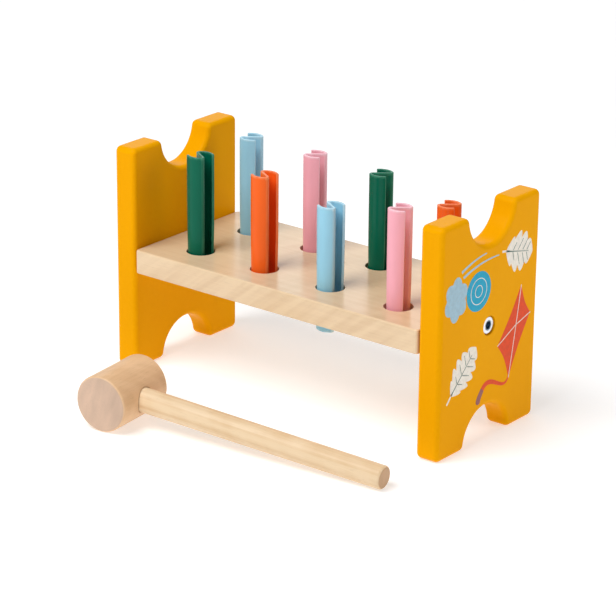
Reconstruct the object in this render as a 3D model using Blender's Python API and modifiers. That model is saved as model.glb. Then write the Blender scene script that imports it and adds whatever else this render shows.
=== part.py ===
"""Toy hammering bench: two notched end panels, a plank that grips eight slotted pegs, and a mallet.

Metres, +Z up. X runs along the plank and -Y is the front, where the mallet lies on the floor.
The origin is on the floor, under the middle of the whole set, mallet included.
"""
import math

import bmesh
import bpy
from mathutils import Vector

# ---- driving dimensions, in metres ----
CLEARANCE = 0.0003              # gap between touching pieces

BENCH_HEIGHT = 0.160
BENCH_WIDTH = 0.110
INNER_SPAN = 0.241              # between the inner faces of the end panels
PANEL_THICKNESS = 0.0175
PANEL_ROUNDING = 0.0034         # round-over along the outline of a panel, on both faces
PANEL_CORNER_RADIUS = 0.0042    # the outline's own corners, beside the notches too
NOTCH_RADIUS = 0.0245
NOTCH_DEPTH = 0.024

PLANK_THICKNESS = 0.017
PLANK_CORNER_RADIUS = 0.0025    # the four upright corners of the plank
PLANK_ROUNDING = 0.0012         # its long top and bottom edges

PEG_LENGTH = 0.0872
PEG_WALL = 0.0018
PEG_WEB_RADIUS = 0.00845        # outside radius where a lobe leaves the web
PEG_TIP_RADIUS = 0.0094         # outside radius at a lobe's free edge
PEG_BEND_RADIUS = 0.0016        # of the middle of the wall, between web and lobe
PEG_LOBE_SWEEP = math.radians(110)
PEG_PITCH = 0.0563              # along the plank
PEG_ROW_SPACING = 0.0546
PEG_STAND_OUT = 0.0692          # above the plank, before the first blow
PEG_HOLE_RADIUS = 0.0098

SCREW_HEAD_RADIUS = 0.0060
SCREW_HEAD_HEIGHT = 0.0030
SCREW_HEAD_SINK = 0.0010        # head face below the panel's outer face
SCREW_SHANK_RADIUS = 0.0032
SCREW_THREAD_RADIUS = 0.0030
SCREW_LENGTH = 0.050            # under the head
SCREW_TAPER = 0.006             # length of the pointed end
SCREW_TIP_RADIUS = 0.0012
SOCKET_ACROSS_FLATS = 0.0050
SOCKET_DEPTH = 0.0025
COUNTERBORE_RADIUS = 0.0066

DOWEL_RADIUS = 0.004
DOWEL_LENGTH = 0.028
DOWEL_IN_PANEL = 0.010
DOWEL_CHAMFER = 0.0008
DOWEL_OFFSET = 0.030            # from the middle of the bench to each dowel

HEAD_RADIUS = 0.0195
HEAD_LENGTH = 0.050
HEAD_ROUNDING = 0.002
HANDLE_ROOT_RADIUS = 0.0085
HANDLE_TIP_RADIUS = 0.0079
HANDLE_REACH = 0.204            # from the middle of the head to the free end
HANDLE_SEAT = 0.006             # how far it goes in past the middle of the head
HANDLE_END_ROUNDING = 0.002
HANDLE_ROOT_CHAMFER = 0.001
MALLET_OFFSET = (-0.0677, -0.1280)      # middle of the head from the middle of the bench
MALLET_HEADING = math.radians(6)        # handle's direction, turned from +X

# ---- resolution ----
PANEL_BEVEL_STEPS = 3
CORNER_STEPS = 4
NOTCH_STEPS = 18                # in half a notch
HOLE_VERTICES = 40
SMALL_HOLE_VERTICES = 24
TURNED_STEPS = 40
LOBE_STEPS = 14
BEND_STEPS = 4
SMOOTH_ANGLE = math.radians(40)
MERGE = 0.00001
OVERSHOOT = 0.002               # how far a cutter runs past the face it opens

# ---- derived places ----
PANEL_MIDDLE_X = (INNER_SPAN + PANEL_THICKNESS) / 2
OUTER_FACE_X = INNER_SPAN / 2 + PANEL_THICKNESS
PLANK_LENGTH = INNER_SPAN - 2 * CLEARANCE
PLANK_MIDDLE_Z = BENCH_HEIGHT / 2
PLANK_TOP_Z = PLANK_MIDDLE_Z + PLANK_THICKNESS / 2
SCREW_HEAD_UNDERSIDE_X = OUTER_FACE_X - SCREW_HEAD_SINK - SCREW_HEAD_HEIGHT
MALLET_REACH = ((HEAD_LENGTH / 2 - HEAD_ROUNDING) * math.cos(MALLET_HEADING)
                + (HEAD_RADIUS - HEAD_ROUNDING) * math.sin(MALLET_HEADING) + HEAD_ROUNDING)
BENCH_Y = (MALLET_REACH - MALLET_OFFSET[1] - BENCH_WIDTH / 2) / 2

# ---- colours ----
YELLOW = (0.82, 0.36, 0.012)
BIRCH = (0.80, 0.62, 0.40)
BEECH = (0.71, 0.48, 0.30)
PINE = (0.82, 0.64, 0.38)
GREEN = (0.010, 0.13, 0.062)
ORANGE = (0.85, 0.10, 0.018)
BLUE = (0.36, 0.66, 0.80)
PINK = (0.90, 0.42, 0.48)
STEEL = (0.80, 0.81, 0.83)

# Each peg: name, colour, column along the plank, row (-1 front, 1 back),
# how far it has been driven in, which way up it is and how far it is turned.
WEB_ALONG = math.radians(38)
WEB_ACROSS = math.radians(-32)
PEGS = (
    ("peg_front_green", GREEN, 0, -1, 0.0000, True, WEB_ACROSS),
    ("peg_front_orange", ORANGE, 1, -1, 0.0020, True, WEB_ACROSS),
    ("peg_front_blue", BLUE, 2, -1, 0.0115, True, WEB_ACROSS),
    ("peg_front_pink", PINK, 3, -1, 0.0010, False, WEB_ALONG),
    ("peg_back_blue", BLUE, 0, 1, 0.0000, False, WEB_ALONG),
    ("peg_back_pink", PINK, 1, 1, 0.0010, False, WEB_ALONG),
    ("peg_back_green", GREEN, 2, 1, 0.0030, False, WEB_ALONG),
    ("peg_back_orange", ORANGE, 3, 1, 0.0130, False, WEB_ALONG),
)


# ---- helpers ----
def clear_scene():
    for obj in list(bpy.data.objects):
        bpy.data.objects.remove(obj, do_unlink=True)


def new_collection(name):
    collection = bpy.data.collections.new(name)
    bpy.context.scene.collection.children.link(collection)
    return collection


def material(name, colour, roughness, metallic=0.0):
    mat = bpy.data.materials.new(name)
    mat.use_nodes = True
    shader = mat.node_tree.nodes["Principled BSDF"]
    shader.inputs["Base Color"].default_value = (*colour, 1.0)
    shader.inputs["Roughness"].default_value = roughness
    shader.inputs["Metallic"].default_value = metallic
    return mat


def add_object(name, mesh, collection, parent, location, rotation=(0, 0, 0)):
    obj = bpy.data.objects.new(name, mesh)
    collection.objects.link(obj)
    obj.parent = parent
    obj.location = location
    obj.rotation_euler = rotation
    return obj


def mesh_from(bm, name):
    mesh = bpy.data.meshes.new(name)
    bm.to_mesh(mesh)
    bm.free()
    mesh.shade_smooth()
    mesh.set_sharp_from_angle(angle=SMOOTH_ANGLE)
    return mesh


def cylinder_mesh(name, radius, length, vertices):
    bm = bmesh.new()
    bmesh.ops.create_cone(bm, cap_ends=True, segments=vertices,
                          radius1=radius, radius2=radius, depth=length)
    return mesh_from(bm, name)


def profile_mesh(name, points):
    """A profile in the XZ plane, from the top of its outer side down to the axis."""
    bm = bmesh.new()
    verts = [bm.verts.new((r, 0, z)) for r, z in points]
    for first, second in zip(verts, verts[1:]):
        bm.edges.new((first, second))
    mesh = bpy.data.meshes.new(name)
    bm.to_mesh(mesh)
    bm.free()
    return mesh


def turn(obj, steps=TURNED_STEPS):
    mod = obj.modifiers.new("turn", "SCREW")
    mod.axis = "Z"
    mod.steps = steps
    mod.render_steps = steps
    mod.use_merge_vertices = True
    mod.merge_threshold = MERGE
    mod.use_smooth_shade = True


def round_edges(obj, width, segments, angle=math.radians(40)):
    mod = obj.modifiers.new("round_edges", "BEVEL")
    mod.width = width
    mod.segments = segments
    mod.limit_method = "ANGLE"
    mod.angle_limit = angle
    mod.use_clamp_overlap = False


def cut(target, cutter):
    mod = target.modifiers.new("cut_" + cutter.name, "BOOLEAN")
    mod.operation = "DIFFERENCE"
    mod.solver = "EXACT"
    mod.object = cutter


def add_cutter(name, radius, length, location, rotation, vertices, parent):
    mesh = cylinder_mesh(name, radius, length, vertices)
    cutter = add_object(name, mesh, cutters, parent, location, rotation)
    cutter.hide_render = True
    cutter.display_type = "WIRE"
    return cutter


ALONG_X = (0, math.radians(90), 0)
ALONG_Y = (math.radians(90), 0, 0)


def side_name(side):
    return "left" if side < 0 else "right"


# ---- end panels ----
def arc(centre, radius, start, end, steps):
    """Points on an arc, both ends included."""
    angles = [start + (end - start) * step / steps for step in range(steps + 1)]
    return [(centre[0] + radius * math.cos(a), centre[1] + radius * math.sin(a)) for a in angles]


def panel_outline():
    """Outline in (y, z) about the panel's middle, with a round notch in its top and bottom edge."""
    corner = PANEL_CORNER_RADIUS
    corner_z = BENCH_HEIGHT / 2 - corner
    notch_z = BENCH_HEIGHT / 2 + NOTCH_RADIUS - NOTCH_DEPTH
    lean = math.asin((notch_z - corner_z) / (NOTCH_RADIUS + corner))
    shoulder_y = (NOTCH_RADIUS + corner) * math.cos(lean)
    right = math.radians(90)
    quarter = arc((BENCH_WIDTH / 2 - corner, corner_z), corner, 0, right, CORNER_STEPS)
    quarter += arc((shoulder_y, corner_z), corner, right, 2 * right - lean, CORNER_STEPS)
    quarter += arc((0, notch_z), NOTCH_RADIUS, -lean, -right, NOTCH_STEPS)[1:]
    top_half = quarter + [(-y, z) for y, z in reversed(quarter[:-1])]
    return top_half + [(-y, -z) for y, z in top_half]


def panel_mesh(name):
    bm = bmesh.new()
    verts = [bm.verts.new((-PANEL_THICKNESS / 2, y, z)) for y, z in panel_outline()]
    face = bm.faces.new(verts)
    extruded = bmesh.ops.extrude_face_region(bm, geom=[face])
    far_side = [item for item in extruded["geom"] if isinstance(item, bmesh.types.BMVert)]
    bmesh.ops.translate(bm, vec=(PANEL_THICKNESS, 0, 0), verts=far_side)
    bmesh.ops.recalc_face_normals(bm, faces=bm.faces)
    return mesh_from(bm, name)


def add_end_panel(side, mat):
    """One panel, side -1 left or 1 right, with its screw hole and two dowel holes."""
    which = side_name(side)
    middle = (side * PANEL_MIDDLE_X, 0, BENCH_HEIGHT / 2)
    panel = add_object("end_panel_" + which, panel_mesh("end_panel_" + which), parts, bench, middle)
    panel.data.materials.append(mat)
    round_edges(panel, PANEL_ROUNDING, PANEL_BEVEL_STEPS)
    sink = SCREW_HEAD_SINK + SCREW_HEAD_HEIGHT + CLEARANCE
    sink_x = OUTER_FACE_X + (OVERSHOOT - sink) / 2
    cut(panel, add_cutter("counterbore_" + which, COUNTERBORE_RADIUS, sink + OVERSHOOT,
                          (side * sink_x, 0, PLANK_MIDDLE_Z), ALONG_X, HOLE_VERTICES, bench))
    cut(panel, add_cutter("screw_hole_" + which, SCREW_SHANK_RADIUS + CLEARANCE,
                          PANEL_THICKNESS + 2 * OVERSHOOT, (middle[0], 0, PLANK_MIDDLE_Z),
                          ALONG_X, SMALL_HOLE_VERTICES, bench))
    for row, place in ((-1, "front"), (1, "back")):
        depth = DOWEL_IN_PANEL + CLEARANCE
        hole_x = INNER_SPAN / 2 + (depth - OVERSHOOT) / 2
        cut(panel, add_cutter(f"dowel_hole_{which}_{place}", DOWEL_RADIUS + CLEARANCE,
                              depth + OVERSHOOT, (side * hole_x, row * DOWEL_OFFSET, PLANK_MIDDLE_Z),
                              ALONG_X, SMALL_HOLE_VERTICES, bench))


# ---- plank ----
def plank_mesh():
    bm = bmesh.new()
    bmesh.ops.create_cube(bm, size=1.0)
    bmesh.ops.scale(bm, vec=Vector((PLANK_LENGTH, BENCH_WIDTH, PLANK_THICKNESS)), verts=bm.verts)
    upright = [e for e in bm.edges if abs(e.verts[0].co.z - e.verts[1].co.z) > PLANK_THICKNESS / 2]
    bmesh.ops.bevel(bm, geom=upright, offset=PLANK_CORNER_RADIUS, segments=3, profile=0.5,
                    affect="EDGES")
    return mesh_from(bm, "bench_plank")


def peg_place(column, row):
    return ((column - 1.5) * PEG_PITCH, row * PEG_ROW_SPACING / 2)


def add_plank(mat):
    plank = add_object("bench_plank", plank_mesh(), parts, bench, (0, 0, PLANK_MIDDLE_Z))
    plank.data.materials.append(mat)
    round_edges(plank, PLANK_ROUNDING, 2, math.radians(60))
    for name, _colour, column, row, _driven, _flipped, _angle in PEGS:
        x, y = peg_place(column, row)
        cut(plank, add_cutter("hole_for_" + name, PEG_HOLE_RADIUS, 2 * PLANK_THICKNESS,
                              (x, y, PLANK_MIDDLE_Z), (0, 0, 0), HOLE_VERTICES, bench))
    screw_end = SCREW_HEAD_UNDERSIDE_X - SCREW_LENGTH - CLEARANCE
    dowel_end = INNER_SPAN / 2 + DOWEL_IN_PANEL - DOWEL_LENGTH - CLEARANCE
    for side in (-1, 1):
        which = side_name(side)
        length = PLANK_LENGTH / 2 - screw_end + OVERSHOOT
        cut(plank, add_cutter("pilot_hole_" + which, SCREW_SHANK_RADIUS + CLEARANCE, length,
                              (side * (screw_end + length / 2), 0, PLANK_MIDDLE_Z), ALONG_X,
                              SMALL_HOLE_VERTICES, bench))
        length = PLANK_LENGTH / 2 - dowel_end + OVERSHOOT
        for row, place in ((-1, "front"), (1, "back")):
            cut(plank, add_cutter(f"plank_dowel_hole_{which}_{place}", DOWEL_RADIUS + CLEARANCE,
                                  length, (side * (dowel_end + length / 2), row * DOWEL_OFFSET,
                                           PLANK_MIDDLE_Z), ALONG_X, SMALL_HOLE_VERTICES, bench))


# ---- fasteners ----
def add_screw(side, mat):
    """Joint screw: flat round head with a hexagon socket, shank and pointed end, along local Z."""
    which = side_name(side)
    edge = 0.0004
    points = ((0, SCREW_HEAD_HEIGHT),
              (SCREW_HEAD_RADIUS - edge, SCREW_HEAD_HEIGHT),
              (SCREW_HEAD_RADIUS, SCREW_HEAD_HEIGHT - edge),
              (SCREW_HEAD_RADIUS, 0),
              (SCREW_SHANK_RADIUS, 0),
              (SCREW_SHANK_RADIUS, -PANEL_THICKNESS),
              (SCREW_THREAD_RADIUS, -PANEL_THICKNESS - edge),
              (SCREW_THREAD_RADIUS, SCREW_TAPER - SCREW_LENGTH),
              (SCREW_TIP_RADIUS, -SCREW_LENGTH),
              (0, -SCREW_LENGTH))
    place = (side * SCREW_HEAD_UNDERSIDE_X, 0, PLANK_MIDDLE_Z)
    facing = (0, side * math.radians(90), 0)
    screw = add_object("screw_" + which, profile_mesh("screw_" + which, points), parts, bench,
                       place, facing)
    screw.data.materials.append(mat)
    turn(screw, SMALL_HOLE_VERTICES)
    socket_x = SCREW_HEAD_UNDERSIDE_X + SCREW_HEAD_HEIGHT + (OVERSHOOT - SOCKET_DEPTH) / 2
    cut(screw, add_cutter("socket_" + which, SOCKET_ACROSS_FLATS / 2 / math.cos(math.radians(30)),
                          SOCKET_DEPTH + OVERSHOOT, (side * socket_x, 0, PLANK_MIDDLE_Z), facing,
                          6, bench))


def add_dowel(side, row, mat):
    name = f"dowel_{side_name(side)}_{'front' if row < 0 else 'back'}"
    middle_x = INNER_SPAN / 2 + DOWEL_IN_PANEL - DOWEL_LENGTH / 2
    mesh = cylinder_mesh(name, DOWEL_RADIUS, DOWEL_LENGTH, SMALL_HOLE_VERTICES)
    mesh.materials.append(mat)
    dowel = add_object(name, mesh, parts, bench,
                       (side * middle_x, row * DOWEL_OFFSET, PLANK_MIDDLE_Z), ALONG_X)
    round_edges(dowel, DOWEL_CHAMFER, 1)


# ---- pegs ----
def lobe_points():
    """Middle of the wall from the web, round the bend and along one lobe to its free edge."""
    start_radius = PEG_WEB_RADIUS - PEG_WALL / 2
    end_radius = PEG_TIP_RADIUS - PEG_WALL / 2
    bend_x = math.sqrt((start_radius - PEG_BEND_RADIUS) ** 2 - PEG_BEND_RADIUS ** 2)
    bend_end = math.atan2(PEG_BEND_RADIUS, bend_x)
    points = []
    for step in range(BEND_STEPS + 1):
        angle = -math.pi / 2 + (math.pi / 2 + bend_end) * step / BEND_STEPS
        points.append((bend_x + PEG_BEND_RADIUS * math.cos(angle),
                       PEG_BEND_RADIUS + PEG_BEND_RADIUS * math.sin(angle)))
    for step in range(1, LOBE_STEPS + 1):
        part_way = step / LOBE_STEPS
        angle = bend_end + (PEG_LOBE_SWEEP - bend_end) * part_way
        radius = start_radius + (end_radius - start_radius) * part_way ** 2
        points.append((radius * math.cos(angle), radius * math.sin(angle)))
    return points


def peg_mesh():
    """The wall's middle surface: a web with a lobe curling off each end, point-symmetric."""
    lobe = lobe_points()
    outline = [(-x, -y) for x, y in reversed(lobe)] + lobe
    bm = bmesh.new()
    verts = [bm.verts.new((x, y, -PEG_LENGTH / 2)) for x, y in outline]
    edges = [bm.edges.new(pair) for pair in zip(verts, verts[1:])]
    sheet = bmesh.ops.extrude_edge_only(bm, edges=edges)
    raised = [item for item in sheet["geom"] if isinstance(item, bmesh.types.BMVert)]
    bmesh.ops.translate(bm, vec=(0, 0, PEG_LENGTH), verts=raised)
    bmesh.ops.recalc_face_normals(bm, faces=bm.faces)
    return mesh_from(bm, "slotted_peg")


def add_peg(name, mat, column, row, driven, flipped, angle):
    """A peg in its hole; a flipped one is turned end for end, so that its section is mirrored."""
    x, y = peg_place(column, row)
    z = PLANK_TOP_Z + PEG_STAND_OUT - driven - PEG_LENGTH / 2
    mesh = peg_mesh()
    mesh.materials.append(mat)
    peg = add_object(name, mesh, parts, bench, (x, y, z), (math.pi if flipped else 0, 0, angle))
    wall = peg.modifiers.new("wall", "SOLIDIFY")
    wall.thickness = PEG_WALL
    wall.offset = 0
    wall.use_even_offset = True


# ---- mallet ----
def mallet_droop():
    """Angle that lays the handle's free end on the floor while the head rests on its side."""
    along = HANDLE_REACH - HANDLE_END_ROUNDING
    return (math.asin(HEAD_RADIUS / math.hypot(along, HANDLE_TIP_RADIUS))
            - math.atan2(HANDLE_TIP_RADIUS, along))


def handle_radius(along):
    """Radius of the handle at a distance from the middle of the head."""
    return HANDLE_ROOT_RADIUS + (HANDLE_TIP_RADIUS - HANDLE_ROOT_RADIUS) * along / HANDLE_REACH


def handle_profile():
    """Free end on top: rounded rim, straight taper, chamfered seat."""
    points = [(0, HANDLE_REACH)]
    rim = handle_radius(HANDLE_REACH) - HANDLE_END_ROUNDING
    for step in range(4):
        angle = math.radians(90 - 30 * step)
        points.append((rim + HANDLE_END_ROUNDING * math.cos(angle),
                       HANDLE_REACH - HANDLE_END_ROUNDING * (1 - math.sin(angle))))
    points.append((handle_radius(-HANDLE_SEAT), -HANDLE_SEAT + HANDLE_ROOT_CHAMFER))
    points.append((handle_radius(-HANDLE_SEAT) - HANDLE_ROOT_CHAMFER, -HANDLE_SEAT))
    points.append((0, -HANDLE_SEAT))
    return points


def add_mallet(head_mat, handle_mat):
    mesh = cylinder_mesh("mallet_head", HEAD_RADIUS, HEAD_LENGTH, TURNED_STEPS)
    mesh.materials.append(head_mat)
    head = add_object("mallet_head", mesh, parts, mallet, (0, 0, 0), ALONG_Y)
    round_edges(head, HEAD_ROUNDING, 3)
    seat = 2 * HEAD_RADIUS
    cut(head, add_cutter("handle_hole", HANDLE_ROOT_RADIUS + CLEARANCE, seat,
                         (seat / 2 - HANDLE_SEAT - CLEARANCE, 0, 0), ALONG_X, TURNED_STEPS, mallet))
    handle = add_object("mallet_handle", profile_mesh("mallet_handle", handle_profile()), parts,
                        mallet, (0, 0, 0), ALONG_X)
    handle.data.materials.append(handle_mat)
    turn(handle)


# ---- build ----
clear_scene()
parts = new_collection("toy_hammering_bench")
cutters = new_collection("cutters")

bench = bpy.data.objects.new("bench_frame", None)
parts.objects.link(bench)
bench.location = (0, BENCH_Y, 0)

mallet = bpy.data.objects.new("mallet_frame", None)
parts.objects.link(mallet)
mallet.location = (MALLET_OFFSET[0], BENCH_Y + MALLET_OFFSET[1], HEAD_RADIUS)
mallet.rotation_euler = (0, mallet_droop(), MALLET_HEADING)

paint = material("yellow_paint", YELLOW, 0.35)
steel = material("plated_steel", STEEL, 0.3, metallic=1.0)
birch = material("birch", BIRCH, 0.5)
for end_side in (-1, 1):
    add_end_panel(end_side, paint)
    add_screw(end_side, steel)
    for dowel_row in (-1, 1):
        add_dowel(end_side, dowel_row, birch)
add_plank(material("plank_wood", BIRCH, 0.45))
for peg_name, colour, *setting in PEGS:
    add_peg(peg_name, material(peg_name, colour, 0.3), *setting)
add_mallet(material("head_wood", BEECH, 0.5), material("handle_wood", PINE, 0.5))
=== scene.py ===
"""Looks of the toy hammering bench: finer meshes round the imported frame, paint, wood, plastic and studio.

Metres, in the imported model's frame: X along the plank, -Y is the front where the mallet lies, +Z is up.
"""
import math

import bmesh
import bpy
from mathutils import Euler, Matrix, Vector


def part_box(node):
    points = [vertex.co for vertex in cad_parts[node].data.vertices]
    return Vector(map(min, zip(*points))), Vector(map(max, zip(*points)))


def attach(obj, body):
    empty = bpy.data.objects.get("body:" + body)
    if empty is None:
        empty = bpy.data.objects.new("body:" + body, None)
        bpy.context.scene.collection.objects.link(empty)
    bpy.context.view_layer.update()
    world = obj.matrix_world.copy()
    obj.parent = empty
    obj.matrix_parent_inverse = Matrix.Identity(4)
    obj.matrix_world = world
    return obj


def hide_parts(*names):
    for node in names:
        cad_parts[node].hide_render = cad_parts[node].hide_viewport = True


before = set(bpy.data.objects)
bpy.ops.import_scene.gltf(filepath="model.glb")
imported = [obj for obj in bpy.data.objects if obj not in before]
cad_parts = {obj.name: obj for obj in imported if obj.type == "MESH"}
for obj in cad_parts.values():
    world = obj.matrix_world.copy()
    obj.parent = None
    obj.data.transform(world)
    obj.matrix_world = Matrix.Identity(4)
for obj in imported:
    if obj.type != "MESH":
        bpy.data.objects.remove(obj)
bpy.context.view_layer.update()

# ---- sizes the finer meshes share with the frame's parts, in metres ----
GAP = 0.0003                    # between touching pieces
PANEL_ROUNDING = 0.0034
PANEL_CORNER_RADIUS = 0.0042    # of the outline's own corners, beside the notches too
NOTCH_RADIUS = 0.0245
NOTCH_DEPTH = 0.024
CORNER_STEPS = 10
NOTCH_STEPS = 40                # in half a notch
PLANK_CORNER = 0.0025           # radius of the plank's upright corners
PLANK_ROUNDING = 0.0012
RIM_ROUNDING = 0.0004           # softening of a drilled hole's rim
PEG_HOLE_RADIUS = 0.0098
PEG_WALL = 0.0018
PEG_WEB_RADIUS = 0.00845        # outside radius where a lobe leaves the web
PEG_TIP_RADIUS = 0.0094         # outside radius at a lobe's free edge
PEG_BEND_RADIUS = 0.0016        # of the middle of the wall, between web and lobe
PEG_LOBE_SWEEP = math.radians(110)
PEG_ROUNDING = 0.0005
BEND_STEPS = 8
LOBE_STEPS = 40
PEG_SQUEEZE = 0.055             # share of its radius a peg gives way where the plank grips it
PEG_SQUEEZE_REACH = 0.024       # how far from the plank's middle that fades
PEG_RINGS = 36                  # length divisions of a peg
SCREW_HEAD_HEIGHT = 0.0030
SCREW_SHANK_RADIUS = 0.0032
SCREW_TAPER = 0.006             # length of the pointed end
SCREW_TIP_RADIUS = 0.00128
SCREW_RIM_ROUNDING = 0.0007     # round the head's outer face
SCREW_EDGE_ROUNDING = 0.0002
SOCKET_ACROSS_FLATS = 0.0050
SOCKET_DEPTH = 0.0025
COUNTERBORE_RADIUS = 0.0066
HEAD_ROUNDING = 0.0020
HEAD_LENGTH = 0.050
HEAD_RADIUS = 0.0195
HANDLE_ROOT_RADIUS = 0.0085
HANDLE_TIP_RADIUS = 0.0079
HANDLE_REACH = 0.204            # from the middle of the head to the free end
HANDLE_SEAT = 0.006             # how far it goes in past the middle of the head
HANDLE_ROUNDING = 0.0020
HANDLE_ROOT_CHAMFER = 0.001
MALLET_OFFSET = (-0.0677, -0.1280)      # middle of the head from the middle of the bench
MALLET_HEADING = math.radians(6)        # the handle's direction, turned from +X

# ---- the camera, seen from the middle of the bench ----
CAMERA_AZIMUTH = math.radians(38.14)
CAMERA_ELEVATION = math.radians(20.50)
CAMERA_DISTANCE = 1.876
CAMERA_ASIDE = -0.0095
CAMERA_RISE = -0.0143
CAMERA_ROLL = math.radians(0.57)
CAMERA_LENS = 161.8             # these two in millimetres
SENSOR_WIDTH = 36.0

# ---- the studio: a pale floor that glows a little, a dim white world and three soft boxes ----
FLOOR_SIZE = 6.0
FLOOR_CLEARANCE = 0.0001        # keeps the floor off the feet that stand on it
FLOOR_GLOW = 0.46
WORLD_GLOW = 0.16
LIGHTS = (                      # name, azimuth and elevation in degrees, distance, size, watts
    ("key", -15, 57, 1.8, (1.1, 1.1), 28),
    ("side", 108, 22, 1.1, (0.6, 0.6), 2.8),
    ("back", 218, 27, 1.5, (1.4, 1.0), 5.0),
)

# ---- pegs: node, colour, and how the section is turned; a mirrored one stands the other way up ----
WEB_ALONG = math.radians(38)
WEB_ACROSS = math.radians(-32)
PEGS = (
    ("peg_front_green", "green", True, WEB_ACROSS),
    ("peg_front_orange", "orange", True, WEB_ACROSS),
    ("peg_front_blue", "blue", True, WEB_ACROSS),
    ("peg_front_pink", "pink", False, WEB_ALONG),
    ("peg_back_blue", "blue", False, WEB_ALONG),
    ("peg_back_pink", "pink", False, WEB_ALONG),
    ("peg_back_green", "green", False, WEB_ALONG),
    ("peg_back_orange", "orange", False, WEB_ALONG),
)

# ---- colours, as linear red, green and blue ----
PAINT_DEEP = (0.88, 0.368, 0.0)
PAINT_BRIGHT = (0.92, 0.392, 0.0)
# paler colour for the rounded edges: thinner paint, and a painted highlight
PAINT_EDGE = (0.98, 0.46, 0.004)
PAINT_UNDER_INK = (0.86, 0.38, 0.003)
PLASTICS = {                    # each plastic's colour, and a paler one for the painted highlight along the edges
    "green": ((0.0010, 0.138, 0.078), (0.06, 0.27, 0.17)),
    "orange": ((0.97, 0.140, 0.014), (0.98, 0.30, 0.12)),
    "blue": ((0.33, 0.66, 0.84), (0.54, 0.79, 0.90)),
    "pink": ((0.98, 0.455, 0.545), (0.98, 0.67, 0.74)),
}
INKS = {
    "cream": (0.95, 0.89, 0.79),
    "sky": (0.41, 0.60, 0.71),
    "teal": (0.020, 0.41, 0.62),
    "red": (0.85, 0.080, 0.018),
    "mauve": (0.36, 0.14, 0.14),
    "sage": (0.06, 0.15, 0.12),
}

# ---- the print: its layers, and the widths of its strokes at their start and end ----
INK_SUNK = 0.00005              # how far a printed layer's underside lies in the paint
INK_LAYER = 0.00006             # how far each layer stands above the one below
STALK_WIDTHS = (0.0016, 0.0012)
GUST_WIDTHS = (0.0022, 0.0008)
TAIL_WIDTHS = (0.0014, 0.0040)
TAIL_TIP_WIDTHS = (0.0040, 0.0048)
SPAR_WIDTHS = (0.0006, 0.0006)
MIDRIB_WIDTHS = (0.0007, 0.0003)
VEIN_WIDTHS = (0.0005, 0.0003)
RING_HALF_WIDTH = 0.00025

# ---- mesh settings ----
SMOOTH_ANGLE = math.radians(38)
FULLY_ROUNDED = math.radians(45)        # how much a vertex's edges bend in all where it counts as round
LARGE_FACES_FIRST = 100                 # the normals' weight that favours large faces the most
MERGE_DISTANCE = 0.000005
HOLE_SIDES = 96
SMALL_HOLE_SIDES = 32
UPRIGHT = (0, 0, 0)
ALONG_X = Euler((0, math.radians(90), 0))
ALONG_Y = Euler((math.radians(90), 0, 0))


# ---- mesh helpers ----
def middle_of(cad_node):
    low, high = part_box(cad_node)
    return (low + high) / 2


def outer_x(cad_node, side):
    """X of the node's face that looks away from the bench's middle; side is 1 right and -1 left."""
    low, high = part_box(cad_node)
    return high.x if side > 0 else low.x


def add_object(name, mesh, place=(0, 0, 0), turned=(0, 0, 0)):
    obj = bpy.data.objects.new(name, mesh)
    bpy.context.scene.collection.objects.link(obj)
    obj.location = place
    obj.rotation_euler = turned
    return obj


def mesh_from(bm, name):
    mesh = bpy.data.meshes.new(name)
    bm.to_mesh(mesh)
    bm.free()
    return mesh


def cylinder(name, radius, length, place, turned, sides=64):
    bm = bmesh.new()
    bmesh.ops.create_cone(bm, cap_ends=True, segments=sides, radius1=radius, radius2=radius,
                          depth=length)
    return add_object(name, mesh_from(bm, name), place, turned)


def lathe(name, profile, steps, place, turned):
    """Turns (radius, height) pairs, which start and end on the axis, about local Z."""
    bm = bmesh.new()
    verts = [bm.verts.new((r, 0, z)) for r, z in profile]
    edges = [bm.edges.new(pair) for pair in zip(verts, verts[1:])]
    bmesh.ops.spin(bm, geom=verts + edges, cent=(0, 0, 0), axis=(0, 0, 1), steps=steps,
                   angle=2 * math.pi, use_merge=True)
    bmesh.ops.remove_doubles(bm, verts=bm.verts, dist=MERGE_DISTANCE)
    bmesh.ops.recalc_face_normals(bm, faces=bm.faces)
    return add_object(name, mesh_from(bm, name), place, turned)


def arc(centre, radius, start, end, steps):
    """Points on an arc, both ends included, in the plane of the two given coordinates."""
    angles = [start + (end - start) * i / steps for i in range(steps + 1)]
    return [(centre[0] + radius * math.cos(a), centre[1] + radius * math.sin(a)) for a in angles]


def round_edges(obj, width, segments, angle=40):
    """Rounds every edge that turns by more than the angle, in degrees."""
    mod = obj.modifiers.new("round", "BEVEL")
    mod.width = width
    mod.segments = segments
    mod.limit_method = "ANGLE"
    mod.angle_limit = math.radians(angle)
    mod.use_clamp_overlap = False
    settle(obj)


def cut(obj, cutter):
    """Cuts the cutter's shape out of the object, and removes the cutter."""
    mod = obj.modifiers.new("cut", "BOOLEAN")
    mod.operation = "DIFFERENCE"
    mod.solver = "EXACT"
    mod.object = cutter
    settle(obj)
    bpy.data.objects.remove(cutter)


def settle(obj):
    """Applies the object's modifiers."""
    bpy.context.view_layer.update()
    result = obj.evaluated_get(bpy.context.evaluated_depsgraph_get())
    mesh = bpy.data.meshes.new_from_object(result)
    obj.modifiers.clear()
    obj.data = mesh


def smooth(obj):
    """Smooth shading with flat faces kept flat and hard edges kept hard."""
    obj.data.shade_smooth()
    obj.data.set_sharp_from_angle(angle=SMOOTH_ANGLE)
    mod = obj.modifiers.new("normals", "WEIGHTED_NORMAL")
    mod.keep_sharp = True
    mod.weight = LARGE_FACES_FIRST
    settle(obj)


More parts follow.
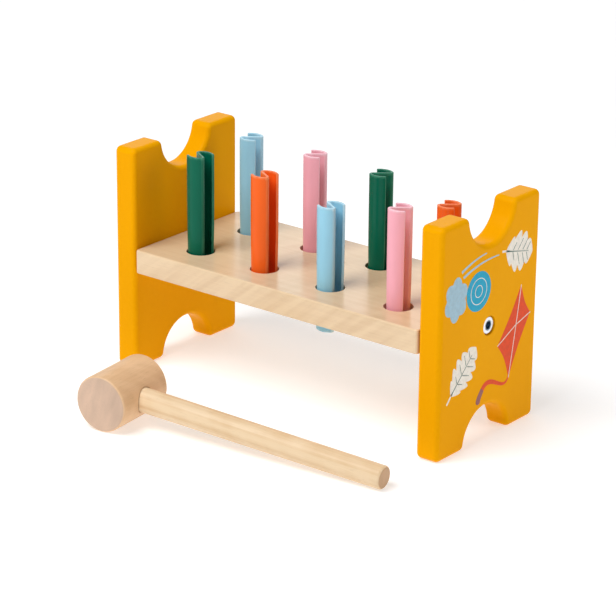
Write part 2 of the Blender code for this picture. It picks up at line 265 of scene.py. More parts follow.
def mark_rounding(obj):
    """Stores how far each vertex is rounded away from flat, 0 to 1, as the attribute 'rounding'."""
    bm = bmesh.new()
    bm.from_mesh(obj.data)
    layer = bm.verts.layers.float.new("rounding")
    for vert in bm.verts:
        bends = [e.calc_face_angle(0) for e in vert.link_edges]
        turned = [abs(b) for b in bends if b]
        vert[layer] = min(1.0, sum(turned) / FULLY_ROUNDED)
    bm.to_mesh(obj.data)
    bm.free()


def finish_piece(obj, body, cad_node, mat):
    obj.data.materials.clear()
    obj.data.materials.append(mat)
    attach(obj, body)
    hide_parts(cad_node)


# ---- material helpers ----
def new_material(name, settings):
    mat = bpy.data.materials.new(name)
    mat.use_nodes = True
    shader = mat.node_tree.nodes["Principled BSDF"]
    for socket, value in settings.items():
        shader.inputs[socket].default_value = value
    return mat


def node(mat, kind, inputs=None, **settings):
    """A new node. An input is a value, or another node's output socket to link from."""
    made = mat.node_tree.nodes.new(kind)
    for key, value in settings.items():
        setattr(made, key, value)
    for socket, value in (inputs or {}).items():
        if isinstance(value, bpy.types.NodeSocket):
            mat.node_tree.links.new(value, made.inputs[socket])
        else:
            made.inputs[socket].default_value = value
    return made


def feed(mat, socket, source):
    """Links a node's output to the shader's socket."""
    mat.node_tree.links.new(source, mat.node_tree.nodes["Principled BSDF"].inputs[socket])


def local_coords(mat, scale=(1, 1, 1), turned=None):
    """The piece's own coordinates, turned first if asked and then scaled."""
    coords = node(mat, "ShaderNodeTexCoord").outputs["Object"]
    if turned:
        coords = node(mat, "ShaderNodeMapping", {"Vector": coords,
                                                 "Rotation": turned}).outputs["Vector"]
    return node(mat, "ShaderNodeMapping", {"Vector": coords, "Scale": scale}).outputs["Vector"]


def noise(mat, vector, scale=1.0, detail=2.0, roughness=0.5):
    return node(mat, "ShaderNodeTexNoise", {"Vector": vector, "Scale": scale, "Detail": detail,
                                            "Roughness": roughness}).outputs["Fac"]


def spread(mat, value, low, high, to_low=0.0, to_high=1.0):
    """The value with low..high mapped to to_low..to_high, and held at both ends."""
    return node(mat, "ShaderNodeMapRange", {"Value": value, "From Min": low, "From Max": high,
                                            "To Min": to_low, "To Max": to_high}).outputs["Result"]


def maths(mat, operation, first, second=0.0):
    return node(mat, "ShaderNodeMath", {0: first, 1: second}, operation=operation).outputs[0]


def blend_colours(mat, share, first, second):
    """First, with a share of second in it. Each may be a colour or a node's output."""
    made = node(mat, "ShaderNodeMix", data_type="RGBA")
    for index, value in ((0, share), (6, first), (7, second)):
        if isinstance(value, bpy.types.NodeSocket):
            mat.node_tree.links.new(value, made.inputs[index])
        elif index == 0:
            made.inputs[index].default_value = value
        else:
            made.inputs[index].default_value = (*value, 1.0)
    return made.outputs[2]


def add_bump(mat, height, distance, strength):
    bump = node(mat, "ShaderNodeBump", {"Height": height, "Distance": distance,
                                        "Strength": strength})
    feed(mat, "Normal", bump.outputs["Normal"])


# ---- materials ----
def paint_material():
    """Satin yellow paint over smooth wood: faint mottle, orange-peel, and paler rounded edges: thinner
    paint there, and a painted highlight.
    """
    mat = new_material("yellow_paint", {"Specular IOR Level": 0.025,
                                        "Specular Tint": (1.0, 0.85, 0.5, 1.0)})
    cloud = noise(mat, local_coords(mat, (1, 1, 0.35)), 28, 3)
    tone = blend_colours(mat, spread(mat, cloud, 0.3, 0.7), PAINT_DEEP, PAINT_BRIGHT)
    # paler along the rounded edges: thinner paint there, and a painted highlight
    thin_paint_and_highlight = node(mat, "ShaderNodeAttribute", attribute_name="rounding").outputs["Fac"]
    speck = spread(mat, noise(mat, local_coords(mat), 420, 2), 0.35, 0.65, 0.5, 1.0)
    share = maths(mat, "MULTIPLY", maths(mat, "MULTIPLY", thin_paint_and_highlight, speck), 0.45)
    feed(mat, "Base Color", blend_colours(mat, share, tone, PAINT_EDGE))
    peel = noise(mat, local_coords(mat), 900, 2, 0.4)
    fibres = noise(mat, local_coords(mat, (110, 110, 14)), 1, 2)
    feed(mat, "Roughness", spread(mat, fibres, 0.3, 0.7, 0.23, 0.27))
    add_bump(mat, maths(mat, "ADD", peel, maths(mat, "MULTIPLY", fibres, 0.2)), 0.00002, 0.25)
    return mat


def wood_material(name, light, dark, end, grain, figure, streaks, flecks, gloss, shine):
    """Close-grained sanded wood. Grain is the axis it runs along, 0 to 2, and end is its end grain.

    Figure is (turn, scale, strength, calm): the soft bands where the fibres wave, and the axis whose
    faces are cut so that they show little of them. Gloss is the roughness, and shine the specular level.
    """
    mat = new_material(name, {"Specular IOR Level": shine})

    def stretched(along, across):
        scale = [across] * 3
        scale[grain] = along
        return local_coords(mat, scale)

    # the figure, shown less on the calm faces
    turn, scale, strength, calm = figure
    bands = noise(mat, local_coords(mat, scale, turn), 1, 2, 0.45)
    normal = node(mat, "ShaderNodeTexCoord").outputs["Normal"]
    facing = node(mat, "ShaderNodeSeparateXYZ", {"Vector": normal})
    shown = spread(mat, maths(mat, "ABSOLUTE", facing.outputs[calm]), 0.3, 0.8, strength,
                   0.3 * strength)
    # streaks, hair-fine fibres and slow changes across the board
    streak = noise(mat, stretched(4, 230), 1, 4, 0.62)
    fibre = noise(mat, stretched(16, 1300), 1, 3, 0.6)
    broad = noise(mat, stretched(4, 26), 1, 2)
    share = maths(mat, "ADD", maths(mat, "MULTIPLY", spread(mat, bands, 0.36, 0.64), shown),
                  spread(mat, streak, 0.3, 0.7, -0.5 * streaks, 0.5 * streaks))
    share = maths(mat, "ADD", share, spread(mat, broad, 0.35, 0.65, 0.0, 0.18))
    share = maths(mat, "ADD", share, spread(mat, fibre, 0.3, 0.7, -0.12, 0.12))
    tone = blend_colours(mat, spread(mat, share, 0.0, 1.0), light, dark)
    # a painted highlight makes rounded edges paler, and short dark flecks lie along the grain
    bent = node(mat, "ShaderNodeAttribute", attribute_name="rounding").outputs["Fac"]
    tone = blend_colours(mat, spread(mat, bent, 0.3, 0.9, 0.0, 0.6), tone,
                         tuple(min(0.98, 1.12 * c) for c in light))
    dashes = noise(mat, stretched(170, 1500), 1, 1)
    fleck = spread(mat, dashes, 0.64, 0.72, 0.0, flecks)
    tone = blend_colours(mat, fleck, tone, tuple(c * 0.55 for c in dark))
    # end grain, mottled and full of pores, on the faces that cut across the fibres
    across = spread(mat, maths(mat, "ABSOLUTE", facing.outputs[grain]), 0.70, 0.93)
    pores = noise(mat, local_coords(mat, [900] * 3), 1, 2, 0.6)
    mottled = blend_colours(mat, spread(mat, bands, 0.3, 0.7), end, tuple(c * 0.80 for c in end))
    mottled = blend_colours(mat, spread(mat, pores, 0.5, 0.75, 0, 0.20), mottled,
                            tuple(c * 0.7 for c in end))
    feed(mat, "Base Color", blend_colours(mat, across, tone, mottled))
    feed(mat, "Roughness", spread(mat, fibre, 0.3, 0.7, gloss - 0.05, gloss + 0.05))
    relief = maths(mat, "SUBTRACT", maths(mat, "MULTIPLY", fibre, 0.5), fleck)
    add_bump(mat, relief, 0.00004, 0.4)
    return mat


def plastic_material(colour_name):
    """Glossy moulded plastic: a little mottle, fine upright scuffs, and a painted highlight along the
    edges.
    """
    colour, edge_highlight_colour = PLASTICS[colour_name]
    mat = new_material("plastic_" + colour_name, {"Specular IOR Level": 0.13})
    mottle = noise(mat, local_coords(mat, (1, 1, 0.3)), 110, 2)
    darker = tuple(c * 0.95 for c in colour)
    tone = blend_colours(mat, spread(mat, mottle, 0.35, 0.65), darker, colour)
    # painted highlight along the rounded edges, broken up by noise
    bent = node(mat, "ShaderNodeAttribute", attribute_name="rounding").outputs["Fac"]
    edge = spread(mat, bent, 0.35, 0.90)
    highlight_breaks = spread(mat, noise(mat, local_coords(mat, (1, 1, 0.15)), 500, 2), 0.3, 0.7, 0.4, 1.0)
    feed(mat, "Base Color", blend_colours(mat, maths(mat, "MULTIPLY", edge, highlight_breaks), tone, edge_highlight_colour))
    scuffs = spread(mat, noise(mat, local_coords(mat, (1600, 1600, 40)), 1, 3), 0.55, 0.72)
    feed(mat, "Roughness", maths(mat, "ADD", maths(mat, "MULTIPLY", scuffs, 0.08),
                                 spread(mat, mottle, 0.3, 0.7, 0.15, 0.19)))
    ripple = noise(mat, local_coords(mat, (1, 1, 0.15)), 160, 1)
    add_bump(mat, maths(mat, "SUBTRACT", ripple, maths(mat, "MULTIPLY", scuffs, 0.1)), 0.00002, 0.3)
    return mat


def ink_material(colour_name):
    """Screen-printed ink: even colour with a little mottle and tiny pinholes that show the paint."""
    colour = INKS[colour_name]
    mat = new_material("ink_" + colour_name, {"Specular IOR Level": 0.12})
    mottle = noise(mat, local_coords(mat), 350, 3)
    thin = tuple(c * 0.88 for c in colour)
    tone = blend_colours(mat, spread(mat, mottle, 0.35, 0.65), thin, colour)
    pinholes = spread(mat, noise(mat, local_coords(mat), 2600, 1), 0.72, 0.76, 0.0, 0.6)
    feed(mat, "Base Color", blend_colours(mat, pinholes, tone, PAINT_UNDER_INK))
    feed(mat, "Roughness", spread(mat, mottle, 0.3, 0.7, 0.36, 0.46))
    add_bump(mat, noise(mat, local_coords(mat), 1200, 2), 0.00002, 0.3)
    return mat


def steel_material():
    """Bright zinc plating with fine turning marks, a painted shade in and round the socket and a painted
    blue reflection on its floor.
    """
    mat = new_material("plated_steel", {"Metallic": 1.0})
    cloud = noise(mat, local_coords(mat), 500, 3)
    plated = blend_colours(mat, cloud, (0.74, 0.78, 0.84), (0.90, 0.93, 0.97))
    feed(mat, "Roughness", spread(mat, cloud, 0.3, 0.7, 0.20, 0.34))
    split = node(mat, "ShaderNodeSeparateXYZ", {"Vector": local_coords(mat)})
    flat = node(mat, "ShaderNodeCombineXYZ", {"X": split.outputs[0], "Y": split.outputs[1]})
    away = node(mat, "ShaderNodeVectorMath", {0: flat.outputs[0]}, operation="LENGTH")
    reach = away.outputs["Value"]
    ragged = maths(mat, "ADD", reach, spread(mat, cloud, 0.3, 0.7, -0.0003, 0.0003))
    # painted shade: dark in and round the socket
    socket_shade_share = spread(mat, ragged, SOCKET_ACROSS_FLATS * 0.64, SOCKET_ACROSS_FLATS * 0.78, 0.85, 0.0)
    socket_shade_colour = blend_colours(mat, cloud, (0.03, 0.07, 0.12), (0.07, 0.15, 0.24))
    tone = blend_colours(mat, socket_shade_share, plated, socket_shade_colour)
    # painted blue reflection on the socket's floor
    sunk = maths(mat, "MULTIPLY", maths(mat, "LESS_THAN", reach, SOCKET_ACROSS_FLATS * 0.45),
                 maths(mat, "LESS_THAN", split.outputs[2], SCREW_HEAD_HEIGHT - 0.0003))
    socket_reflection_colour = blend_colours(mat, cloud, (0.22, 0.42, 0.60), (0.45, 0.66, 0.82))
    feed(mat, "Base Color", blend_colours(mat, sunk, tone, socket_reflection_colour))
    marks = maths(mat, "SINE", maths(mat, "MULTIPLY", reach, 26000))
    add_bump(mat, marks, 0.00001, 0.3)
    return mat


# ---- end panels ----
def panel_outline(width, height):
    """Outline in (y, z) about the panel's middle, with a round notch in its top and bottom edge."""
    corner = PANEL_CORNER_RADIUS
    corner_z = height / 2 - corner
    notch_z = height / 2 + NOTCH_RADIUS - NOTCH_DEPTH
    lean = math.asin((notch_z - corner_z) / (NOTCH_RADIUS + corner))
    shoulder_y = (NOTCH_RADIUS + corner) * math.cos(lean)
    right = math.radians(90)
    quarter = arc((width / 2 - corner, corner_z), corner, 0, right, CORNER_STEPS)
    quarter += arc((shoulder_y, corner_z), corner, right, 2 * right - lean, CORNER_STEPS)
    quarter += arc((0, notch_z), NOTCH_RADIUS, -lean, -right, NOTCH_STEPS)[1:]
    top_half = quarter + [(-y, z) for y, z in reversed(quarter[:-1])]
    return top_half + [(-y, -z) for y, z in top_half]


def add_panel(which, side, mat):
    """A rounded panel, bored for its counterbored screw and for two dowels."""
    low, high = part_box("end_panel_" + which)
    size = high - low
    bm = bmesh.new()
    verts = [bm.verts.new((-size.x / 2, y, z)) for y, z in panel_outline(size.y, size.z)]
    face = bm.faces.new(verts)
    extruded = bmesh.ops.extrude_face_region(bm, geom=[face])
    moved = [item for item in extruded["geom"] if isinstance(item, bmesh.types.BMVert)]
    bmesh.ops.translate(bm, vec=(size.x, 0, 0), verts=moved)
    bmesh.ops.recalc_face_normals(bm, faces=bm.faces)
    panel = add_object("painted_panel_" + which, mesh_from(bm, "panel"), (low + high) / 2)
    round_edges(panel, PANEL_ROUNDING, 6)
    seat = outer_x("screw_" + which, side) - side * (SCREW_HEAD_HEIGHT + GAP)
    outer = outer_x("end_panel_" + which, side)
    middle = middle_of("end_panel_" + which)
    cut(panel, cylinder("counterbore", COUNTERBORE_RADIUS, 2 * abs(outer - seat),
                        (outer, middle.y, middle.z), ALONG_X))
    cut(panel, cylinder("screw_hole", SCREW_SHANK_RADIUS + GAP, 2 * size.x, middle, ALONG_X,
                        SMALL_HOLE_SIDES))
    for place in ("front", "back"):
        add_dowel_hole(panel, f"dowel_{which}_{place}")
    round_edges(panel, RIM_ROUNDING, 2, 60)
    smooth(panel)
    mark_rounding(panel)
    finish_piece(panel, "bench", "end_panel_" + which, mat)


def add_dowel_hole(obj, dowel):
    """Bores the object for the dowel, a gap wider and longer than the dowel is."""
    low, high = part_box(dowel)
    radius = (high.z - low.z) / 2 + GAP
    cut(obj, cylinder("dowel_hole", radius, high.x - low.x + 2 * GAP, (low + high) / 2, ALONG_X,
                      SMALL_HOLE_SIDES))


# ---- the print on a panel's outer face: leaves, a cloud, a ball and a kite on a windy day ----
# A point is (across, up): metres from the panel's middle line, seen from outside, and above the floor.
def curve_through(first, second, third, fourth, steps=24):
    """Points on a cubic curve from first to fourth, pulled towards the other two."""
    points = []
    for step in range(steps + 1):
        t = step / steps
        weights = ((1 - t) ** 3, 3 * t * (1 - t) ** 2, 3 * t * t * (1 - t), t ** 3)
        ends = (first, second, third, fourth)
        points.append(Vector((sum(w * p[0] for w, p in zip(weights, ends)),
                              sum(w * p[1] for w, p in zip(weights, ends)))))
    return points


def ribbon(points, widths):
    """Outline of a stroke along the points, from one width to the other and rounded at its end."""
    start_width, end_width = widths
    left, right = [], []
    last = len(points) - 1
    for i, point in enumerate(points):
        along = (Vector(points[min(i + 1, last)]) - Vector(points[max(i - 1, 0)])).normalized()
        half = (start_width + (end_width - start_width) * i / last) / 2
        aside = Vector((-along.y, along.x)) * half
        left.append(Vector(point) + aside)
        right.append(Vector(point) - aside)
    cap_start = math.atan2(left[-1].y - points[-1][1], left[-1].x - points[-1][0])
    cap = arc(points[-1], end_width / 2, cap_start, cap_start - math.pi, 8)[1:-1]
    return left + cap + list(reversed(right))


def leaf_outline(stem, tip, half_width, lobes, steps=90):
    """A leaf with rounded lobes that lean towards its tip."""
    stem, tip = Vector(stem), Vector(tip)
    along = (tip - stem).normalized()
    aside = Vector((-along.y, along.x))
    length = (tip - stem).length
    outline = []
    for sign in (1, -1):
        for step in range(steps):
            t = (step if sign > 0 else steps - step) / steps
            swell = max(0.0, math.sin(math.pi * t ** 0.9)) ** 0.6
            lobe = abs(math.sin(math.pi * lobes * t)) ** 0.8
            reach = half_width * swell * (0.62 + 0.38 * lobe)
            lean = length * 0.10 * swell * lobe * (1 - t)
            outline.append(stem + along * (length * t + lean) + aside * sign * reach)
    return outline


def cloud_outline(centre, half_width, half_height, puffs, steps=120):
    """An oval whose edge swells into round puffs."""
    outline = []
    for step in range(steps):
        angle = 2 * math.pi * step / steps
        reach = 0.80 + 0.22 * abs(math.sin(puffs * angle / 2 + 0.4))
        outline.append((centre[0] + half_width * reach * math.cos(angle),
                        centre[1] + half_height * reach * math.sin(angle)))
    return outline


def add_ink(which, side, outlines, colour, layer, inks):
    """One printed colour as thin closed slabs; an outline is a loop, or an (outer, inner) ring."""
    base = -INK_SUNK
    top = INK_LAYER * layer
    bm = bmesh.new()
    for outline in outlines:
        if isinstance(outline, tuple):
            outer, inner = ([bm.verts.new((base, u, v)) for u, v in loop] for loop in outline)
            count = len(outer)
            faces = [bm.faces.new((outer[i], outer[(i + 1) % count], inner[(i + 1) % count],
                                   inner[i])) for i in range(count)]
        else:
            faces = [bm.faces.new([bm.verts.new((base, u, v)) for u, v in outline])]
        raised = bmesh.ops.extrude_face_region(bm, geom=faces)
        moved = [item for item in raised["geom"] if isinstance(item, bmesh.types.BMVert)]
        bmesh.ops.translate(bm, vec=(top - base, 0, 0), verts=moved)
    bmesh.ops.recalc_face_normals(bm, faces=bm.faces)
    bmesh.ops.triangulate(bm, faces=[f for f in bm.faces if len(f.verts) > 4])
    panel = "end_panel_" + which
    place = (outer_x(panel, side), middle_of(panel).y, 0)
    obj = add_object(f"ink_{which}_{colour}_{layer}", mesh_from(bm, "ink"), place,
                     (0, 0, 0 if side > 0 else math.pi))
    obj.data.materials.append(inks[colour])
    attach(obj, "bench")


def circle(centre, radius, steps=72):
    return arc(centre, radius, 0, 2 * math.pi, steps)[:-1]


def leaf_veins(stem, tip, half_width):
    """Midrib and pairs of side veins, as strokes."""
    stem, tip = Vector(stem), Vector(tip)
    along = (tip - stem).normalized()
    aside = Vector((-along.y, along.x))
    strokes = [ribbon([stem.lerp(tip, 0.04 + 0.08 * i) for i in range(11)], MIDRIB_WIDTHS)]
    for share in (0.24, 0.42, 0.60, 0.76):
        root = stem.lerp(tip, share)
        reach = half_width * 0.62 * math.sin(math.pi * share)
        for sign in (1, -1):
            end = root + along * reach * 0.55 + aside * sign * reach
            strokes.append(ribbon([root.lerp(end, 0.12), root.lerp(end, 0.6), end], VEIN_WIDTHS))
    return strokes


def add_print(which, side, inks):
    """Every colour of the print. An ink on a higher layer lies over those below it."""
    high_leaf = ((0.0165, 0.1265), (0.0470, 0.1190), 0.0142)
    low_leaf = ((-0.0415, 0.0435), (-0.0145, 0.0695), 0.0125)
    cream = [leaf_outline(*high_leaf, lobes=4), leaf_outline(*low_leaf, lobes=5)]
    cream.append(ribbon([(0.0120, 0.1275), (0.0150, 0.1270), (0.0200, 0.1257)], STALK_WIDTHS))
    cream.append(ribbon([(-0.0460, 0.0385), (-0.0430, 0.0418), (-0.0400, 0.0450)], STALK_WIDTHS))
    sky = [cloud_outline((-0.0385, 0.1085), 0.0125, 0.0150, 6)]
    for start, bend, end in (((-0.031, 0.1215), (-0.014, 0.128), (0.0080, 0.1265)),
                             ((-0.033, 0.1255), (-0.020, 0.131), (-0.0060, 0.1315))):
        sky.append(ribbon(curve_through(start, start, bend, end), GUST_WIDTHS))
    ball = (-0.0135, 0.1075)
    add_ink(which, side, cream, "cream", 1, inks)
    add_ink(which, side, sky, "sky", 1, inks)
    add_ink(which, side, [circle(ball, 0.0135)], "teal", 1, inks)
    corners = ((0.0355, 0.0985), (0.0470, 0.0760), (0.0240, 0.0365), (0.0100, 0.0625))
    kite = []
    for first, second in zip(corners, corners[1:] + corners[:1]):
        pull = Vector(first).lerp(Vector(second), 0.5).lerp(Vector((0.030, 0.070)), 0.12)
        kite += curve_through(first, pull, pull, second, 12)[:-1]
    tail = curve_through((0.0240, 0.0375), (0.0190, 0.0250), (0.0030, 0.0480), (-0.0060, 0.0370))
    add_ink(which, side, [kite, ribbon(tail, TAIL_WIDTHS)], "red", 1, inks)
    tail_tip = curve_through((-0.0060, 0.0370), (-0.0080, 0.0345), (-0.0100, 0.0320),
                             (-0.0105, 0.0300), 8)
    add_ink(which, side, [ribbon(tail_tip, TAIL_TIP_WIDTHS)], "mauve", 2, inks)
    add_ink(which, side, leaf_veins(*high_leaf) + leaf_veins(*low_leaf), "sage", 2, inks)
    rings = [(circle(ball, r + RING_HALF_WIDTH), circle(ball, r - RING_HALF_WIDTH))
             for r in (0.0040, 0.0088)]
    spars = [ribbon([corners[0], (0.0305, 0.0700), corners[2]], SPAR_WIDTHS),
             ribbon([corners[3], (0.0300, 0.0715), corners[1]], SPAR_WIDTHS)]
    add_ink(which, side, rings, "cream", 2, inks)
    add_ink(which, side, spars, "cream", 3, inks)


# ---- plank ----
def add_plank(mat):
    """The plank, with its eight peg holes and a screw's and two dowels' holes in each end."""
    low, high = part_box("bench_plank")
    size = high - low
    bm = bmesh.new()
    bmesh.ops.create_cube(bm, size=1.0)
    bmesh.ops.scale(bm, vec=size, verts=bm.verts)
    upright = [e for e in bm.edges if abs(e.verts[0].co.z - e.verts[1].co.z) > size.z / 2]
    bmesh.ops.bevel(bm, geom=upright, offset=PLANK_CORNER, segments=8, profile=0.5,
                    affect="EDGES")
    plank = add_object("wood_plank", mesh_from(bm, "plank"), (low + high) / 2)
    round_edges(plank, PLANK_ROUNDING, 4, 60)
    for peg, *_rest in PEGS:
        place = middle_of(peg)
        cut(plank, cylinder("peg_hole", PEG_HOLE_RADIUS, 2 * size.z,
                            (place.x, place.y, plank.location.z), UPRIGHT, HOLE_SIDES))
    for which in ("left", "right"):
        screw_low, screw_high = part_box("screw_" + which)
        cut(plank, cylinder("pilot_hole", SCREW_SHANK_RADIUS + GAP,
                            screw_high.x - screw_low.x + 2 * GAP, middle_of("screw_" + which),
                            ALONG_X, SMALL_HOLE_SIDES))
        for place in ("front", "back"):
            add_dowel_hole(plank, f"dowel_{which}_{place}")
    round_edges(plank, RIM_ROUNDING, 3, 70)
    smooth(plank)
    mark_rounding(plank)
    finish_piece(plank, "bench", "bench_plank", mat)


# ---- screws ----
def add_screw(which, side, mat):
    """A turned screw with a hexagon socket. Its own Z points out of the panel, from under the head."""
    low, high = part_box("screw_" + which)
    radius = (high.z - low.z) / 2
    length = high.x - low.x - SCREW_HEAD_HEIGHT
    middle = (low + high) / 2
    face_x = outer_x("screw_" + which, side)
    rim = arc((radius - SCREW_RIM_ROUNDING, SCREW_HEAD_HEIGHT - SCREW_RIM_ROUNDING),
              SCREW_RIM_ROUNDING, math.pi / 2, 0, 5)
    profile = [(0, SCREW_HEAD_HEIGHT)] + rim + [
        (radius, 0), (SCREW_SHANK_RADIUS, 0), (SCREW_SHANK_RADIUS, SCREW_TAPER - length),
        (SCREW_TIP_RADIUS, -length), (0, -length)]
    facing = Euler((0, side * math.radians(90), 0))
    screw = lathe("plated_screw_" + which, profile, 64,
                  (face_x - side * SCREW_HEAD_HEIGHT, middle.y, middle.z), facing)
    socket = cylinder("socket", SOCKET_ACROSS_FLATS / 2 / math.cos(math.radians(30)),
                      2 * SOCKET_DEPTH, (face_x, middle.y, middle.z), facing, 6)
    cut(screw, socket)
    round_edges(screw, SCREW_EDGE_ROUNDING, 2, 60)
    smooth(screw)
    finish_piece(screw, "bench", "screw_" + which, mat)


# ---- pegs ----
def lobe_points():
    """Middle of the wall from the web, round the bend and along one lobe to its free edge."""
    start_radius = PEG_WEB_RADIUS - PEG_WALL / 2
    end_radius = PEG_TIP_RADIUS - PEG_WALL / 2
    bend_x = math.sqrt((start_radius - PEG_BEND_RADIUS) ** 2 - PEG_BEND_RADIUS ** 2)
    bend_end = math.atan2(PEG_BEND_RADIUS, bend_x)
    points = arc((bend_x, PEG_BEND_RADIUS), PEG_BEND_RADIUS, -math.pi / 2, bend_end, BEND_STEPS)
    for step in range(1, LOBE_STEPS + 1):
        part_way = step / LOBE_STEPS
        angle = bend_end + (PEG_LOBE_SWEEP - bend_end) * part_way
        radius = start_radius + (end_radius - start_radius) * part_way ** 2
        points.append((radius * math.cos(angle), radius * math.sin(angle)))
    return points


def add_peg(peg, mirrored, angle, mat):
    """A peg whose wall follows the S-shaped section, a little narrower where the plank grips it."""
    low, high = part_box(peg)
    lobe = lobe_points()
    outline = [(-x, -y) for x, y in reversed(lobe)] + lobe
    length = high.z - low.z
    grip = middle_of("bench_plank").z - (low.z + high.z) / 2
    grip = -grip if mirrored else grip
    bm = bmesh.new()
    rows = []
    for ring in range(PEG_RINGS + 1):
        z = length * (ring / PEG_RINGS - 0.5)
        size = 1 - PEG_SQUEEZE * math.exp(-((z - grip) / PEG_SQUEEZE_REACH) ** 2)
        rows.append([bm.verts.new((x * size, y * size, z)) for x, y in outline])
    for below, above in zip(rows, rows[1:]):
        for i in range(len(outline) - 1):
            bm.faces.new((below[i], below[i + 1], above[i + 1], above[i]))
    turned = (math.pi if mirrored else 0, 0, angle)
    obj = add_object("plastic_" + peg, mesh_from(bm, peg), (low + high) / 2, turned)
    wall = obj.modifiers.new("wall", "SOLIDIFY")
    wall.thickness = PEG_WALL
    wall.offset = 0
    wall.use_even_offset = True
    settle(obj)
    round_edges(obj, PEG_ROUNDING, 3, 60)
    smooth(obj)
    mark_rounding(obj)
    finish_piece(obj, peg, peg, mat)


# ---- mallet ----
def mallet_droop():
    """Angle that lays the handle's free end on the floor while the head rests on its side."""
    along = HANDLE_REACH - HANDLE_ROUNDING
    return (math.asin(HEAD_RADIUS / math.hypot(along, HANDLE_TIP_RADIUS))
            - math.atan2(HANDLE_TIP_RADIUS, along))


def add_mallet(bench_middle, head_mat, handle_mat):
    """The mallet on the floor: its head lies on its side, and its handle's free end touches down."""
    place = Vector((bench_middle.x + MALLET_OFFSET[0], bench_middle.y + MALLET_OFFSET[1],
                    HEAD_RADIUS))
    lying = Euler((0, mallet_droop(), MALLET_HEADING)).to_matrix().to_4x4()
    head = cylinder("turned_mallet_head", HEAD_RADIUS, HEAD_LENGTH, (0, 0, 0), UPRIGHT, 128)
    round_edges(head, HEAD_ROUNDING, 6)
    seat = 2 * HEAD_RADIUS
    head.data.transform(ALONG_Y.to_matrix().to_4x4())
    cut(head, cylinder("handle_hole", HANDLE_ROOT_RADIUS + GAP, seat,
                       (seat / 2 - HANDLE_SEAT - GAP, 0, 0), ALONG_X, HOLE_SIDES))
    round_edges(head, RIM_ROUNDING, 2, 60)
    smooth(head)
    head.matrix_world = Matrix.Translation(place) @ lying
    finish_piece(head, "mallet", "mallet_head", head_mat)

    slope = (HANDLE_TIP_RADIUS - HANDLE_ROOT_RADIUS) / HANDLE_REACH
    tip = HANDLE_TIP_RADIUS
    root = HANDLE_ROOT_RADIUS - slope * HANDLE_SEAT
    profile = [(0, HANDLE_REACH)]
    profile += arc((tip - HANDLE_ROUNDING, HANDLE_REACH - HANDLE_ROUNDING), HANDLE_ROUNDING,
                   math.pi / 2, 0, 8)
    profile += [(root, HANDLE_ROOT_CHAMFER - HANDLE_SEAT),
                (root - HANDLE_ROOT_CHAMFER, -HANDLE_SEAT), (0, -HANDLE_SEAT)]
    handle = lathe("turned_mallet_handle", profile, 96, (0, 0, 0), UPRIGHT)
    smooth(handle)
    handle.matrix_world = Matrix.Translation(place) @ lying @ ALONG_X.to_matrix().to_4x4()
    finish_piece(handle, "mallet", "mallet_handle", handle_mat)


# ---- studio ----
def add_camera(target):
    """The camera, whose own axes are across, up and back."""
    back = Vector((math.sin(CAMERA_AZIMUTH) * math.cos(CAMERA_ELEVATION),
                   -math.cos(CAMERA_AZIMUTH) * math.cos(CAMERA_ELEVATION),
                   math.sin(CAMERA_ELEVATION)))
    level = Vector((math.cos(CAMERA_AZIMUTH), math.sin(CAMERA_AZIMUTH), 0))
    rise = back.cross(level)
    across = level * math.cos(CAMERA_ROLL) + rise * math.sin(CAMERA_ROLL)
    up = rise * math.cos(CAMERA_ROLL) - level * math.sin(CAMERA_ROLL)
    place = target + back * CAMERA_DISTANCE + across * CAMERA_ASIDE + up * CAMERA_RISE
    data = bpy.data.cameras.new("camera")
    data.lens = CAMERA_LENS
    data.sensor_width = SENSOR_WIDTH
    camera = bpy.data.objects.new("camera", data)
    bpy.context.scene.collection.objects.link(camera)
    camera.matrix_world = Matrix((
        (across.x, up.x, back.x, place.x),
        (across.y, up.y, back.y, place.y),
        (across.z, up.z, back.z, place.z),
        (0, 0, 0, 1)))
    bpy.context.scene.camera = camera


def add_light(target, name, azimuth, elevation, distance, size, power):
    """A soft box on a sphere round the bench. Azimuth 0 is the front, 90 the right."""
    a, e = math.radians(azimuth), math.radians(elevation)
    out = Vector((math.sin(a) * math.cos(e), -math.cos(a) * math.cos(e), math.sin(e)))
    data = bpy.data.lights.new(name, "AREA")
    data.shape = "RECTANGLE"
    data.size, data.size_y = size
    data.energy = power
    light = bpy.data.objects.new(name, data)
    bpy.context.scene.collection.objects.link(light)
    light.location = target + out * distance
    light.rotation_mode = "QUATERNION"
    light.rotation_quaternion = (-out).to_track_quat("-Z", "Y")


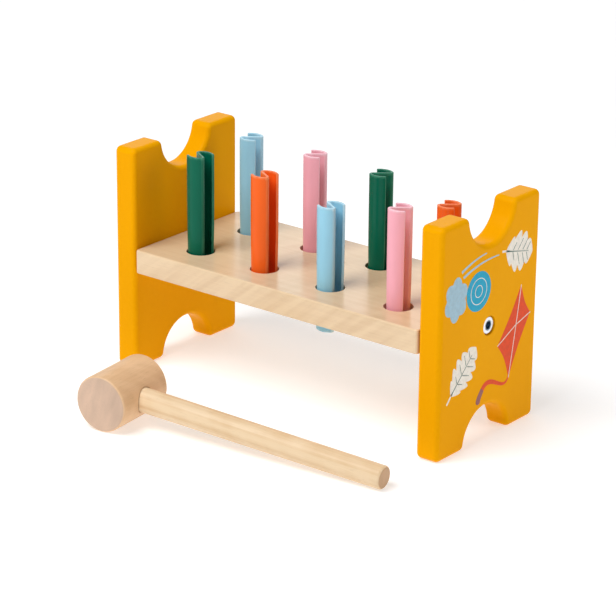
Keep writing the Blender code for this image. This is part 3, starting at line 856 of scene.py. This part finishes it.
def add_studio(target):
    """The floor, the world and the lights."""
    bm = bmesh.new()
    bmesh.ops.create_grid(bm, x_segments=1, y_segments=1, size=FLOOR_SIZE)
    floor = add_object("floor", mesh_from(bm, "floor"), (0, 0, -FLOOR_CLEARANCE))
    paper = new_material("pale_floor", {"Roughness": 0.9, "Specular IOR Level": 0.1,
                                        "Emission Color": (1.0, 1.0, 1.0, 1.0),
                                        "Emission Strength": FLOOR_GLOW})
    grain = noise(paper, local_coords(paper), 300, 2)
    feed(paper, "Base Color", blend_colours(paper, grain, (0.71, 0.71, 0.71), (0.74, 0.74, 0.74)))
    floor.data.materials.append(paper)
    world = bpy.data.worlds.new("studio")
    world.use_nodes = True
    background = world.node_tree.nodes["Background"]
    background.inputs["Color"].default_value = (1.0, 1.0, 1.0, 1.0)
    background.inputs["Strength"].default_value = WORLD_GLOW
    bpy.context.scene.world = world
    bpy.context.scene.view_settings.view_transform = "Standard"
    for light in LIGHTS:
        add_light(target, *light)


# ---- build ----
bench_middle = (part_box("end_panel_left")[0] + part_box("end_panel_right")[1]) / 2
paint = paint_material()
steel = steel_material()
curl = (0, math.radians(-52), math.radians(12))
birch = wood_material("plank_birch", light=(0.81, 0.613, 0.395), dark=(0.65, 0.445, 0.258),
                      end=(0.66, 0.46, 0.30), grain=0, figure=(curl, (170, 20, 14), 1.00, 2),
                      streaks=0.50, flecks=0.08, gloss=0.22, shine=0.50)
dowel_wood = wood_material("dowel_beech", light=(0.78, 0.58, 0.38), dark=(0.64, 0.42, 0.26),
                           end=(0.62, 0.42, 0.28), grain=0, figure=(curl, (120, 60, 60), 0.4, 2),
                           streaks=0.6, flecks=0.35, gloss=0.4, shine=0.30)
inks = {name: ink_material(name) for name in INKS}
for panel_name, panel_side in (("left", -1), ("right", 1)):
    add_panel(panel_name, panel_side, paint)
    add_print(panel_name, panel_side, inks)
    add_screw(panel_name, panel_side, steel)
    for row_name in ("front", "back"):
        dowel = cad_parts[f"dowel_{panel_name}_{row_name}"]
        dowel.data.materials.clear()
        dowel.data.materials.append(dowel_wood)
add_plank(birch)
plastics = {name: plastic_material(name) for name in PLASTICS}
for peg_name, colour_name, is_mirrored, peg_angle in PEGS:
    add_peg(peg_name, is_mirrored, peg_angle, plastics[colour_name])
swirl = (math.radians(35), math.radians(-28), math.radians(20))
beech = wood_material("head_beech", light=(0.88, 0.590, 0.350), dark=(0.72, 0.450, 0.240),
                      end=(0.74, 0.520, 0.380), grain=1, figure=(swirl, (130, 40, 30), 0.50, 1),
                      streaks=0.40, flecks=0.16, gloss=0.42, shine=0.30)
pine = wood_material("handle_pine", light=(0.88, 0.670, 0.435), dark=(0.71, 0.460, 0.225),
                     end=(0.64, 0.385, 0.205), grain=2, figure=(curl, (60, 110, 8), 0.35, 2),
                     streaks=0.85, flecks=0.10, gloss=0.38, shine=0.30)
add_mallet(bench_middle, beech, pine)
add_camera(bench_middle)
add_studio(bench_middle)
